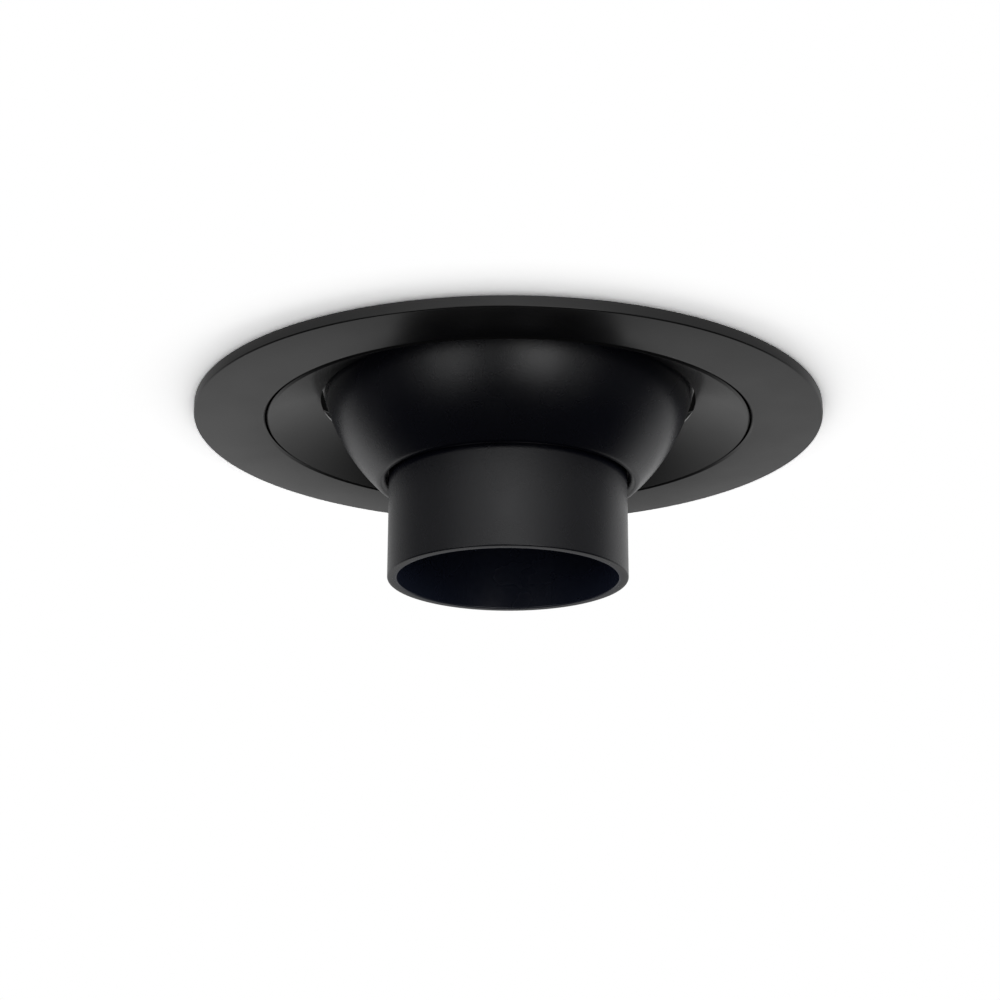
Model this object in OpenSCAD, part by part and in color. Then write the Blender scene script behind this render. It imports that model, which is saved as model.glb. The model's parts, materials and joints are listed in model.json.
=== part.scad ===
// Recessed soffit downlight: a trim flange held by two spring clips, a swivel ring that pans in it,
// a ball head that tilts in the ring's two ears, and a tube snoot that slides in the ball's mouth.
// The origin lies on the soffit surface (the flange's back face) on the lamp's axis, +Z points up
// into the soffit, and the visible side hangs below z = 0. All lengths are in millimetres.

/* [Ball head] */
// Radial room between the snoot's tube and the outside of the ball
ball_room = 15.5; // [15:0.1:17]
// Wall of the ball shell
ball_wall = 2.2; // [1.8:0.1:3]
// Height of the ball's centre (the tilt axis) above the soffit surface
ball_z = 15.2; // [14.6:0.2:17]
// Height of the shell's open rim above the ball's centre
rim_rise = 20; // [18:0.5:21]
// Radius of the two flats that face the pivot ears
flat_r = 10.9; // [10.5:0.1:12]
// Gap between the snoot and the ball's mouth
mouth_gap = 0.5; // [0.4:0.1:1]
// Bevel on the mouth's edge
mouth_bevel = 1.2; // [0.3:0.1:2]

/* [Snoot] */
// Outer diameter of the snoot tube
snoot_d = 50; // [46:0.5:52]
// Wall of the snoot tube
snoot_wall = 2; // [1.5:0.1:2.5]
// How far the snoot's rim hangs below the soffit surface
snoot_drop = 35.5; // [32:0.5:45]
// How far the snoot slides up into the ball
snoot_travel = 15; // [8:1:16]
// Radial clearance of the snoot in its guide
slide_fit = 0.05; // [0.02:0.01:0.09]
// Bevel on the snoot's rim
rim_bevel = 0.3; // [0.2:0.1:0.6]
// Thickness of the stop ring on the snoot's upper end
stop_ring_t = 1; // [0.8:0.1:1.2]
// Opening of the stop ring
stop_ring_gap = 6; // [4:1:10]

/* [Guide tube] */
// Length of the bore in which the snoot slides
guide_land_l = 13.6; // [11:0.2:14]
// Radial relief above that bore
guide_relief = 0.9; // [0.8:0.1:1.1]
// Wall of the guide tube above that bore
guide_wall = 1.3; // [1.1:0.1:1.6]
// Thickness of the rubber grip ring
grip_wire = 1.1; // [0.9:0.1:1.2]

/* [Swivel ring] */
// Radial width of the conical dish, from the hole to the seam
dish_w = 11.2; // [11:0.1:14]
// Gap between the ball and the ring's hole at the ring's top face
hole_gap = 0.75; // [0.5:0.05:1.2]
// Height of the thin lip around the hole
lip_t = 0.9; // [0.6:0.1:1.5]
// How far the hidden shoulder stands out from the ring's face
shoulder_w = 2.1; // [1.8:0.1:3]
// Height of the hidden shoulder
shoulder_t = 2; // [1.8:0.1:3]
// Width of the seam between the ring and the flange
seam_gap = 0.4; // [0.3:0.1:1]
// Radial clearance of the shoulder in the neck
pan_fit = 0.05; // [0.02:0.01:0.09]

/* [Trim flange] */
// Thickness of the flange plate
flange_t = 2.3; // [2:0.1:3.5]
// How far the flange laps over the edge of the soffit's cut-out
flange_lap = 6; // [6:0.5:12]
// Rounding of the flange's lower outer edge
edge_r = 0.3; // [0.2:0.1:0.9]
// Wall of the neck that stands in the cut-out
neck_wall = 2; // [2:0.1:3]
// Room for the spring clips between the neck and the cut-out's edge
clip_room = 5; // [5:0.1:8]
// Height of the ledge that carries the swivel ring, above the soffit surface
ledge_z = 1.5; // [1:0.1:2.5]
// Thickness of the glide ring on the ledge
glide_t = 0.5; // [0.4:0.1:1]
// Thickness of the friction ring above the shoulder
friction_t = 1.4; // [1:0.1:2]
// Thickness of the snap ring
snap_t = 1; // [0.8:0.1:1.5]
// Opening of the snap ring
snap_gap = 14; // [8:1:20]
// Diameter of the screw and the pin that stop the pan
stop_d = 3; // [2.5:0.1:3.2]
// Width of the gasket in the flange's back
gasket_w = 2.5; // [2:0.1:3]
// Depth of the gasket's groove
gasket_t = 1.2; // [0.8:0.1:1.4]

/* [Spring clips] */
// Thinnest soffit board that the clips hold
min_board = 5; // [4:0.5:8]
// Length of a clip arm, from its hinge to the middle of its tip
arm_len = 21; // [20:0.5:28]
// Width of a clip arm
arm_w = 12; // [11:0.5:14]
// Thickness of a clip arm's blade
arm_t = 1; // [0.8:0.1:1.2]
// Diameter of a clip's hinge pin
pin_d = 2.5; // [2:0.1:3]
// Wire of the torsion springs
wire_d = 0.7; // [0.5:0.1:0.8]
// Full turns of each torsion spring
coil_turns = 6; // [4:1:6]
// Height of the clips' hinges above the top of the neck
hinge_rise = 4.7; // [4.5:0.1:7]
// Sheet thickness of the clip brackets
bracket_t = 1; // [0.8:0.1:1.2]
// Wall of the soft sleeve on each tip
sleeve_wall = 1.3; // [1:0.1:1.6]
// Length of the soft sleeve
sleeve_l = 7; // [5:0.5:9]
// Wall of the brackets' eyes round the hinge pin
eye_wall = 1.5; // [1.2:0.1:1.8]
// Diameter of the rivets
rivet_d = 2.4; // [2:0.1:2.8]

/* [Pivots] */
// Sheet thickness of the pivot ears
ear_t = 2; // [1.6:0.1:3]
// Width of the pivot ears
ear_w = 24; // [22:1:26]
// Thickness of the friction washers between ball and ears
washer_t = 1; // [0.8:0.1:1.5]
// Diameter of the friction washers
washer_d = 11.6; // [10.6:0.2:12]
// Thickness of the disc springs under the pivot screws
disc_spring_t = 0.8; // [0.6:0.1:1]
// Thickness of the washers under the lock screws
lock_washer_t = 0.6; // [0.5:0.1:0.8]
// Diameter of the screws through the ears' feet
ear_screw_d = 2.5; // [2.2:0.1:2.8]
// Diameter of the pivot screws' shanks
pivot_d = 4; // [3.6:0.1:4.5]
// Diameter of the lock screws' shanks
lock_d = 3; // [2.5:0.1:3]
// Radius at which the lock screws run round the tilt axis
lock_orbit = 8; // [7.6:0.1:8.4]
// Tilt to each side
tilt_limit = 30; // [20:1:30]

/* [Heat sink] */
// Thickness of the heat sink's base plate
sink_base = 4.5; // [4:0.5:6]
// Height of the fins
fin_h = 20; // [14:1:28]
// Thickness of the fins
fin_t = 1.8; // [1.4:0.1:2.4]
// Distance from fin to fin
fin_pitch = 5.2; // [4.6:0.1:7]
// Diameter of the three screws that hold the heat sink
sink_screw_d = 3; // [2.6:0.1:3.2]

/* [Light engine] */
// Side of the square LED board
board_w = 19; // [17:1:20]
// Diameter of the light-emitting patch
emitter_d = 13; // [9:1:14]
// Thickness of the LED holder
holder_t = 4.5; // [4.2:0.1:6]
// Thickness of the cover glass
glass_t = 2; // [1.5:0.1:3]
// Height from the raised snoot's top to the LED face
engine_rise = 9.5; // [9:0.1:11]
// Radial gap between the optic housing and the snoot
optic_gap = 0.7; // [0.5:0.1:1]
// Wall of the optic housing
optic_wall = 1.1; // [0.9:0.1:1.4]
// Thickness of the optic housing's upper wall
optic_flange_t = 1.5; // [1.2:0.1:2]
// Diameter of the two long screws of the optic housing
optic_screw_d = 2.5; // [2.2:0.1:2.8]
// Wall of the reflector
reflector_wall = 0.8; // [0.6:0.1:1]
// Thickness of the threaded ring that holds the glass
retainer_t = 1.8; // [1.4:0.1:2.2]
// Thickness of the glass's seal
seal_t = 0.8; // [0.6:0.1:1]
// Thickness of the LED board
board_t = 1.5; // [1.2:0.1:1.8]
// Thickness of the thermal pad
pad_t = 0.5; // [0.3:0.1:0.8]

/* [Cord gland] */
// Diameter of the cord that the gland takes
cord_d = 5; // [4:0.5:6]
// Diameter of the gland's thread
gland_d = 10; // [9.5:0.5:12]
// Height of the gland's hexagon
gland_hex_h = 3.5; // [3:0.1:4.5]
// Height of the gland's threaded neck
gland_neck_h = 6; // [5:0.5:8]
// Least wall round the gland's thread in the heat sink's spigot
gland_land = 2.85; // [2:0.05:4]

/* [Hidden] */
$fn = 120;

// Overshoot of a cut beyond the face that it opens
cut = 1;
// Radial clearance of a screw, rivet or pin in its hole
hole_fit = 0.05;
// Air between two parts that pass each other without touching
air = 0.3;
// Chamfer that breaks the sharp edges along the seam
seam_bevel = 0.25;

// Ball and snoot
snoot_r = snoot_d / 2;
snoot_in_r = snoot_r - snoot_wall;
ball_r = snoot_r + ball_room;
ball_in_r = ball_r - ball_wall;
mouth_r = snoot_r + mouth_gap;
// height at which the mouth's bevel meets the outside of the ball
mouth_bevel_z = -sqrt(pow(ball_r, 2) - pow(mouth_r + mouth_bevel, 2));
rim_out_r = sqrt(pow(ball_r, 2) - pow(rim_rise, 2));

// Heights of the swivel stack, from the soffit surface
shoulder_z = ledge_z + glide_t;
ring_top = shoulder_z + shoulder_t;
snap_z = ring_top + friction_t + 0.1;
hole_r = sqrt(pow(ball_r, 2) - pow(ball_z - ring_top, 2)) + hole_gap;

// Radii of the swivel ring, neck, cut-out and flange
ring_r = hole_r + dish_w;
bore_r = ring_r + seam_gap;
shoulder_r = ring_r + shoulder_w;
neck_in_r = shoulder_r + pan_fit;
neck_out_r = neck_in_r + neck_wall;
cutout_r = neck_out_r + clip_room;
flange_r = cutout_r + flange_lap;
snap_in_r = neck_in_r - 2;
snap_out_r = neck_in_r + 1;
outer_land = 2;

// Pivot ears: feet screwed to the ring, upright plates beside the ball's flats
flat_y = sqrt(pow(ball_r, 2) - pow(flat_r, 2));
ear_y = flat_y + washer_t;
ear_out_y = ear_y + ear_t;
ear_foot_t = ear_t;
ear_foot_y = sqrt(pow(snap_in_r - 0.6, 2) - pow(ear_w / 2, 2));
ear_screw_x = ear_w / 2 - head_r(ear_screw_d) - 1.4;
ear_screw_y = ear_foot_y - head_r(ear_screw_d) - 0.7;
pivot_boss_y = flat_y - 7;
pivot_boss_r = pivot_d / 2 + 3.5;
lock_boss_r = lock_d / 2 + 2.5;

// Pan stop: a screw through the neck meets a pin on the ring after half a turn each way
stop_screw_angle = 45;
stop_pin_angle = 225;
stop_pin_r = snap_in_r - 0.5 - stop_d / 2;
stop_z = ring_top + ear_foot_t + head_h(ear_screw_d) + 1 + stop_d / 2;
neck_top = stop_z + stop_d / 2 + 2;

// Spring clips, described on the +X side
pin_r = pin_d / 2;
wire_r = wire_d / 2;
clip_disc_r = pin_r + hole_fit + eye_wall;
hinge_x = cutout_r - 0.7 - clip_disc_r;
hinge_z = neck_top + hinge_rise;
pad_x = hinge_x - 0.5;
sleeve_r = arm_t / 2 + sleeve_wall;
arm_angle = asin((hinge_z - sleeve_r - min_board) / arm_len);
barrel_r = pin_r + hole_fit + eye_wall - 0.5;
bracket_w = arm_w + 4;
bracket_z = 1;
bracket_lip = hinge_z - clip_disc_r * tan(arm_angle) - arm_t / 2 / cos(arm_angle) - 0.1;
coil_r = pin_r + 0.35 + wire_r;
coil_sweep = 90 + arm_angle + 360 * coil_turns;
coil_half = coil_sweep / 360 * wire_d * 1.2 / 2;
barrel_y = coil_half + wire_r + 0.35;
rivet_r = rivet_d / 2;
rivet_head_r = rivet_r + 0.8;
rivet_head_t = 0.9;
rivet_heights = [bracket_z + 3, neck_top - 3];

// Guide and snoot, in heights from the ball's centre
guide_land_r = snoot_r + slide_fit;
guide_relief_r = snoot_r + guide_relief;
guide_out_r = guide_relief_r + guide_wall;
guide_foot = -sqrt(pow(ball_in_r, 2) - pow(guide_out_r, 2)) - 0.6;
guide_land_top = guide_foot + guide_land_l;
grip_z = guide_foot + 5;
stop_ring_z = guide_land_top + 0.1;
stop_groove_r = snoot_r - 0.35 * snoot_wall;
snoot_top = stop_ring_z + stop_ring_t + 1.2;
snoot_foot = -snoot_drop - ball_z;

// Light engine, in heights from the ball's centre: everything hangs from the LED face
led_face = snoot_top + snoot_travel + engine_rise;
collar_r = snoot_r - 0.2;
collar_z = snoot_top + snoot_travel + 0.1;
spigot_r = guide_relief_r - hole_fit;
emitter_t = 0.4;
holder_z = led_face - holder_t;
optic_r = snoot_in_r - optic_gap;
optic_in_r = optic_r - optic_wall;
optic_foot = snoot_top - 0.5;
optic_screw_r = optic_in_r - head_r(optic_screw_d) - 3;
window_r = optic_in_r - 2.4;
glass_z = optic_foot + retainer_t + seal_t;
reflector_z = glass_z + glass_t;
reflector_neck_r = emitter_d / 2 + 1.3;
optic_neck_r = reflector_neck_r + reflector_wall + 1.2;

// Heat sink and its screws
lug_angles = [0, 120, 240];
lug_r = (guide_out_r + rim_out_r) / 2 - 0.7;
lug_w = sink_screw_d + 5;
lug_h = 8;
fin_r = rim_out_r - 4.2;
sink_well_r = head_r(sink_screw_d) + 0.8;
fin_rows = floor((lug_r * sin(60) - sink_well_r - fin_t / 2 - air) / fin_pitch);
sink_top = rim_rise + sink_base + fin_h;

// Cord gland on the heat sink
gland_r = gland_d / 2;
gland_x = -(spigot_r - gland_r - gland_land);
gland_hex_r = gland_r + 2.2;
gland_z = rim_rise + sink_base;
gland_bore_r = cord_d / 2 + 0.1;
gland_seal_r = gland_r - 1.4;

// Radius and height of the round head of a screw with the given shank
function head_r(d) = 0.875 * d;
function head_h(d) = 0.72 * d;

// A rectangle of a lathe profile, between two radii and two heights
module band(r0, r1, z0, z1) {
  translate([r0, z0]) square([r1 - r0, z1 - z0]);
}

// A ring turned from one rectangle
module turned_ring(r0, r1, z0, z1) {
  rotate_extrude() band(r0, r1, z0, z1);
}

// A diamond that cuts a bevel on a profile's corner
module corner_cut(r, z, bevel) {
  translate([r, z]) rotate(45) square(bevel * sqrt(2), center = true);
}

// A C-shaped snap ring with a gap on the +X side
module snap_ring(r0, r1, z0, z1, gap) {
  difference() {
    turned_ring(r0, r1, z0, z1);
    translate([0, -gap / 2, z0 - cut]) cube([r1 + cut, gap, z1 - z0 + 2 * cut]);
  }
}

// A cap screw along +Z: its shank ends at -length, its head sits on z = 0 with a hexagon socket
module cap_screw(d, length) {
  difference() {
    union() {
      translate([0, 0, -length]) cylinder(r = d / 2, h = length);
      cylinder(r = head_r(d), h = head_h(d));
    }
    translate([0, 0, head_h(d) * 0.45]) cylinder(r = d * 0.45, h = head_h(d), $fn = 6);
  }
}

// A flat washer on z = 0
module washer(inner_r, outer_r, t) {
  difference() {
    cylinder(r = outer_r, h = t);
    translate([0, 0, -cut]) cylinder(r = inner_r, h = t + 2 * cut);
  }
}

// Puts the children at the ball's centre
module at_ball() {
  translate([0, 0, ball_z]) children();
}

// Turns the children's +Z to +Y, at height z above the ball's centre and distance y
module along_y(y, z) {
  translate([0, y, ball_z + z]) rotate([-90, 0, 0]) children();
}

// The children at the front (-Y) and at the back (+Y)
module front_and_back() {
  children();
  mirror([0, 1, 0]) children();
}

// The children on the left (-X)
module left() {
  mirror([1, 0, 0]) children();
}

// ---- Trim flange and what is fixed to it ----

module trim_profile() {
  difference() {
    union() {
      band(bore_r, flange_r - edge_r, -flange_t, 0);
      band(flange_r - edge_r - cut, flange_r, edge_r - flange_t, 0);
      translate([flange_r - edge_r, edge_r - flange_t]) circle(edge_r);
      band(bore_r, neck_out_r, -flange_t / 2, neck_top);
    }
    band(bore_r - cut, neck_in_r, ledge_z, neck_top + cut);
    band(neck_in_r - cut, snap_out_r + 0.1, snap_z - 0.1, snap_z + snap_t + 0.1);
    band(flange_r - outer_land - gasket_w, flange_r - outer_land, -gasket_t, cut);
    corner_cut(bore_r, -flange_t, seam_bevel);
  }
}

module clip_pad() {
  translate([neck_in_r + neck_wall / 2, -bracket_w / 2, -gasket_t / 2])
    cube([pad_x - neck_in_r - neck_wall / 2, bracket_w, neck_top + gasket_t / 2]);
}

module rivet_holes() {
  for (z = rivet_heights)
    translate([snap_out_r - 0.3, 0, z]) rotate([0, 90, 0])
      cylinder(r = rivet_r + hole_fit, h = neck_wall + clip_room);
}

module trim_flange() {
  color([0.05, 0.05, 0.055])
    difference() {
      union() {
        rotate_extrude() trim_profile();
        clip_pad();
        left() clip_pad();
      }
      rivet_holes();
      left() rivet_holes();
      rotate([0, 0, stop_screw_angle]) translate([neck_in_r - cut, 0, stop_z])
        rotate([0, 90, 0]) cylinder(r = stop_d / 2 + hole_fit, h = neck_wall + 2 * cut);
    }
}

module flange_gasket() {
  color([0.12, 0.12, 0.12])
    turned_ring(flange_r - outer_land - gasket_w, flange_r - outer_land, -gasket_t, 0);
}

module pan_glide_ring() {
  color([0.93, 0.93, 0.9])
    turned_ring(bore_r + 0.15, neck_in_r - hole_fit, ledge_z, shoulder_z);
}

module pan_snap_ring() {
  color([0.35, 0.35, 0.36]) rotate([0, 0, 180])
    snap_ring(snap_in_r, snap_out_r, snap_z, snap_z + snap_t, snap_gap);
}

module pan_stop_screw() {
  length = neck_out_r + 0.8 - (stop_pin_r - stop_d / 2 - 0.5);
  color([0.6, 0.6, 0.62])
    rotate([0, 0, stop_screw_angle]) translate([neck_out_r + 0.8, 0, stop_z]) rotate([0, -90, 0])
      difference() {
        cylinder(r = stop_d / 2, h = length);
        translate([0, 0, -cut]) cylinder(r = stop_d / 4, h = cut + 1.5, $fn = 6);
      }
}

// ---- Spring clips ----

module clip_ear_outline() {
  union() {
    translate([hinge_x, hinge_z]) circle(clip_disc_r);
    polygon([
      [pad_x, bracket_z + 2],
      [hinge_x + clip_disc_r, bracket_z + 7],
      [hinge_x + clip_disc_r, hinge_z],
      [pad_x, hinge_z]
    ]);
  }
}

module clip_ear(y) {
  translate([0, y + bracket_t, 0]) rotate([90, 0, 0]) linear_extrude(bracket_t)
    difference() {
      clip_ear_outline();
      translate([hinge_x, hinge_z]) circle(pin_r + hole_fit);
    }
}

module clip_bracket() {
  color([0.68, 0.69, 0.7])
    difference() {
      union() {
        translate([pad_x, -bracket_w / 2, bracket_z])
          cube([bracket_t, bracket_w, bracket_lip - bracket_z]);
        translate([pad_x, -bracket_w / 2, bracket_lip - bracket_t])
          cube([hinge_x + clip_disc_r - pad_x, bracket_w, bracket_t]);
        clip_ear(bracket_w / 2 - bracket_t);
        clip_ear(-bracket_w / 2);
      }
      for (z = rivet_heights)
        translate([pad_x - cut, 0, z]) rotate([0, 90, 0])
          cylinder(r = rivet_r + hole_fit, h = bracket_t + 2 * cut);
    }
}

module clip_rivet_pair() {
  for (z = rivet_heights)
    translate([0, 0, z]) rotate([0, 90, 0]) {
      translate([0, 0, snap_out_r])
        cylinder(r = rivet_r, h = pad_x + bracket_t - snap_out_r + cut / 2);
      translate([0, 0, pad_x + bracket_t]) cylinder(r1 = rivet_head_r, r2 = rivet_r, h = rivet_head_t);
    }
}

module clip_rivets() {
  color([0.75, 0.75, 0.76]) {
    clip_rivet_pair();
    left() clip_rivet_pair();
  }
}

module clip_pin() {
  color([0.72, 0.72, 0.74])
    translate([hinge_x, -bracket_w / 2, hinge_z]) rotate([-90, 0, 0]) {
      translate([0, 0, -0.8]) cylinder(r = pin_r + 0.7, h = 0.8);
      translate([0, 0, -0.4]) cylinder(r = pin_r, h = bracket_w + 0.8);
      translate([0, 0, bracket_w]) cylinder(r = pin_r + 0.5, h = 0.6);
    }
}

// Puts the children in the frame of the clip arm: +X runs from the hinge to the tip
module along_arm() {
  translate([hinge_x, 0, hinge_z]) rotate([0, arm_angle, 0]) children();
}

module clip_barrel(y0, y1) {
  translate([0, y0, 0]) rotate([-90, 0, 0])
    difference() {
      union() {
        cylinder(r = barrel_r, h = y1 - y0);
        translate([0, -arm_t / 2, 0]) cube([barrel_r + 1, arm_t, y1 - y0]);
      }
      translate([0, 0, -cut]) cylinder(r = pin_r + hole_fit, h = y1 - y0 + 2 * cut);
    }
}

module clip_blade() {
  translate([barrel_r + 0.5, -arm_w / 2, -arm_t / 2])
    cube([arm_len - barrel_r, arm_w, arm_t]);
}

module clip_arm() {
  color([0.7, 0.71, 0.72])
    along_arm() {
      clip_barrel(barrel_y, arm_w / 2 + 0.4);
      clip_barrel(-arm_w / 2 - 0.4, -barrel_y);
      clip_blade();
    }
}

module clip_sleeve() {
  sleeve_w = arm_w + 1.6;
  color([0.16, 0.16, 0.17])
    along_arm()
      difference() {
        union() {
          translate([arm_len, -sleeve_w / 2, 0]) rotate([-90, 0, 0])
            cylinder(r = sleeve_r, h = sleeve_w);
          translate([arm_len - sleeve_l, -sleeve_w / 2, -sleeve_r])
            cube([sleeve_l, sleeve_w, 2 * sleeve_r]);
        }
        clip_blade();
      }
}

// Points of the torsion spring's wire: fixed leg, coil, then the leg that presses on the arm
function coil_point(s) =
  let (turned = 180 - s * coil_sweep)
  [
    hinge_x + coil_r * cos(turned),
    (2 * s - 1) * coil_half,
    hinge_z + coil_r * sin(turned)
  ];
function arm_point(along, up, y) = [
  hinge_x + along * cos(arm_angle) + up * sin(arm_angle),
  y,
  hinge_z - along * sin(arm_angle) + up * cos(arm_angle)
];
coil_steps = 14 * (coil_turns + 1);
spring_path = concat(
  [
    [pad_x - wire_r - 0.05, -coil_half, neck_top + wire_r + 0.1],
    [hinge_x - coil_r, -coil_half, hinge_z - 0.6]
  ],
  [for (i = [0 : coil_steps]) coil_point(i / coil_steps)],
  [
    arm_point(2, coil_r - 0.25, coil_half),
    arm_point(9, arm_t / 2 + wire_r + 0.03, coil_half)
  ]
);

// A round wire swept along a path that stays near planes across Y
function wire_ring(path, i, r, sides) =
  let (
    before = path[max(i - 1, 0)],
    after = path[min(i + 1, len(path) - 1)],
    along = (after - before) / norm(after - before),
    side = cross([0, 1, 0], along) / norm(cross([0, 1, 0], along)),
    across = cross(along, side)
  )
  [for (k = [0 : sides - 1])
    path[i] + r * (cos(360 * k / sides) * side + sin(360 * k / sides) * across)];

module wire(path, r, sides) {
  last = len(path) - 1;
  points = [for (i = [0 : last]) each wire_ring(path, i, r, sides)];
  walls = [for (i = [0 : last - 1], k = [0 : sides - 1])
    let (next = (k + 1) % sides)
    [i * sides + k, i * sides + next, (i + 1) * sides + next, (i + 1) * sides + k]];
  start = [[for (k = [sides - 1 : -1 : 0]) k]];
  end = [[for (k = [0 : sides - 1]) last * sides + k]];
  polyhedron(points = points, faces = concat(walls, start, end));
}

module clip_spring() {
  color([0.55, 0.55, 0.57]) wire(spring_path, wire_r, 7);
}

// ---- Swivel ring and pivot ears ----

module swivel_profile() {
  difference() {
    polygon([
      [ring_r, -flange_t],
      [ring_r, shoulder_z],
      [shoulder_r, shoulder_z],
      [shoulder_r, ring_top],
      [hole_r, ring_top],
      [hole_r, ring_top - lip_t],
      [ring_r - 2 * seam_bevel, -flange_t]
    ]);
    corner_cut(ring_r, -flange_t, seam_bevel);
  }
}

module swivel_ring() {
  hole_depth = 4.6;
  color([0.05, 0.05, 0.055])
    difference() {
      rotate_extrude() swivel_profile();
      front_and_back()
        for (x = [-ear_screw_x, ear_screw_x])
          translate([x, ear_screw_y, ring_top - hole_depth + 1.6])
            cylinder(r = ear_screw_d / 2 + hole_fit, h = hole_depth);
      rotate([0, 0, stop_pin_angle]) translate([stop_pin_r, 0, ring_top - 2.5])
        cylinder(r = stop_d / 2 + hole_fit, h = 2.5 + cut);
    }
}

module pan_friction_ring() {
  color([0.14, 0.14, 0.14])
    turned_ring(snap_in_r + 0.4, shoulder_r - 0.1, ring_top, ring_top + friction_t);
}

module pan_stop_pin() {
  color([0.6, 0.6, 0.62])
    rotate([0, 0, stop_pin_angle]) translate([stop_pin_r, 0, ring_top - 2.5])
      cylinder(r = stop_d / 2, h = stop_z + stop_d / 2 - ring_top + 2.5);
}

module lock_slot() {
  slot_r = lock_d / 2 + 0.2;
  end = tilt_limit + 1.5;
  reach = lock_orbit + slot_r + cut;
  intersection() {
    difference() {
      circle(lock_orbit + slot_r);
      circle(lock_orbit - slot_r);
    }
    polygon([
      [0, 0],
      [-reach * tan(end), reach],
      [reach * tan(end), reach]
    ]);
  }
  for (side = [-1, 1])
    rotate(side * end) translate([0, lock_orbit]) circle(slot_r);
}

module pivot_ear() {
  color([0.09, 0.09, 0.095]) {
    difference() {
      union() {
        translate([0, ear_out_y, 0]) rotate([90, 0, 0]) linear_extrude(ear_t)
          difference() {
            intersection() {
              union() {
                translate([0, ball_z]) circle(ear_w / 2);
                translate([-ear_w / 2, ring_top]) square([ear_w, ball_z - ring_top]);
              }
              translate([-ear_w, ring_top]) square([2 * ear_w, 2 * ear_w]);
            }
            translate([0, ball_z]) circle(pivot_d / 2 + hole_fit);
            translate([0, ball_z]) lock_slot();
          }
        translate([-ear_w / 2, ear_y, ring_top])
          cube([ear_w, ear_foot_y - ear_y, ear_foot_t]);
      }
      for (x = [-ear_screw_x, ear_screw_x])
        translate([x, ear_screw_y, ring_top - cut])
          cylinder(r = ear_screw_d / 2 + 0.1, h = ear_foot_t + 2 * cut);
    }
  }
}

module ear_screws() {
  color([0.5, 0.5, 0.52])
    front_and_back()
      for (x = [-ear_screw_x, ear_screw_x])
        translate([x, ear_screw_y, ring_top + ear_foot_t])
          cap_screw(ear_screw_d, ear_foot_t + 2.8);
}

// ---- Ball head ----

module ball_lug() {
  intersection() {
    sphere(ball_in_r + ball_wall / 2);
    translate([guide_out_r + air, -lug_w / 2, rim_rise - lug_h])
      cube([ball_r, lug_w, lug_h]);
  }
}

module ball_shell() {
  color([0.045, 0.045, 0.05])
    at_ball()
      difference() {
        union() {
          difference() {
            sphere(ball_r);
            sphere(ball_in_r);
          }
          for (a = lug_angles) rotate([0, 0, a]) ball_lug();
          intersection() {
            sphere(ball_in_r + ball_wall / 2);
            front_and_back() {
              translate([0, pivot_boss_y, 0]) rotate([-90, 0, 0])
                cylinder(r = pivot_boss_r, h = ball_r);
              translate([0, pivot_boss_y, lock_orbit]) rotate([-90, 0, 0])
                cylinder(r = lock_boss_r, h = ball_r);
            }
          }
        }
        // open top, mouth with its bevel, and the seat of the guide tube
        translate([0, 0, rim_rise]) cylinder(r = ball_r + cut, h = ball_r);
        translate([0, 0, -ball_r - cut]) cylinder(r = mouth_r, h = ball_r);
        translate([0, 0, mouth_bevel_z - 3 * mouth_bevel])
          cylinder(r1 = mouth_r + 4 * mouth_bevel, r2 = mouth_r, h = 4 * mouth_bevel);
        translate([0, 0, guide_foot]) cylinder(r = guide_out_r + hole_fit, h = ball_r);
        // flats and screw holes at the two pivots
        front_and_back() {
          translate([-ball_r, flat_y, -ball_r]) cube([2 * ball_r, ball_r, 2 * ball_r]);
          translate([0, pivot_boss_y - cut, 0]) rotate([-90, 0, 0])
            cylinder(r = pivot_d / 2 + hole_fit, h = ball_r);
          translate([0, pivot_boss_y - cut, lock_orbit]) rotate([-90, 0, 0])
            cylinder(r = lock_d / 2 + hole_fit, h = ball_r);
        }
        for (a = lug_angles) rotate([0, 0, a]) translate([lug_r, 0, rim_rise - lug_h - cut])
          cylinder(r = sink_screw_d / 2 + hole_fit, h = lug_h + 2 * cut);
      }
}

module pivot_screws() {
  color([0.45, 0.45, 0.47])
    front_and_back()
      along_y(ear_out_y + disc_spring_t, 0)
        cap_screw(pivot_d, ear_out_y + disc_spring_t - pivot_boss_y);
}

module pivot_disc_springs() {
  color([0.62, 0.62, 0.64])
    front_and_back()
      along_y(ear_out_y, 0) washer(pivot_d / 2 + hole_fit, head_r(pivot_d) + 0.4, disc_spring_t);
}

module tilt_friction_washers() {
  color([0.85, 0.85, 0.8])
    front_and_back()
      along_y(flat_y, 0) washer(pivot_d / 2 + hole_fit, washer_d / 2, washer_t);
}

module tilt_lock_screws() {
  color([0.45, 0.45, 0.47])
    front_and_back()
      along_y(ear_out_y + lock_washer_t, lock_orbit)
        cap_screw(lock_d, ear_out_y + lock_washer_t - pivot_boss_y);
}

module tilt_lock_washers() {
  color([0.62, 0.62, 0.64])
    front_and_back()
      along_y(ear_out_y, lock_orbit) washer(lock_d / 2 + hole_fit, head_r(lock_d) + 0.5, lock_washer_t);
}

module guide_tube() {
  groove_h = grip_wire + 0.3;
  color([0.1, 0.1, 0.105])
    at_ball()
      difference() {
        turned_ring(guide_land_r, guide_out_r, guide_foot, rim_rise - 0.2);
        translate([0, 0, guide_land_top]) cylinder(r = guide_relief_r, h = ball_r);
        turned_ring(guide_land_r - cut, guide_land_r + grip_wire + 0.1,
          grip_z - groove_h / 2, grip_z + groove_h / 2);
        for (a = lug_angles)
          rotate([0, 0, a + 60]) translate([0, 0, (led_face + rim_rise) / 2])
            rotate([0, 90, 0]) cylinder(r = 1 + hole_fit, h = guide_out_r + cut);
      }
}

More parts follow.
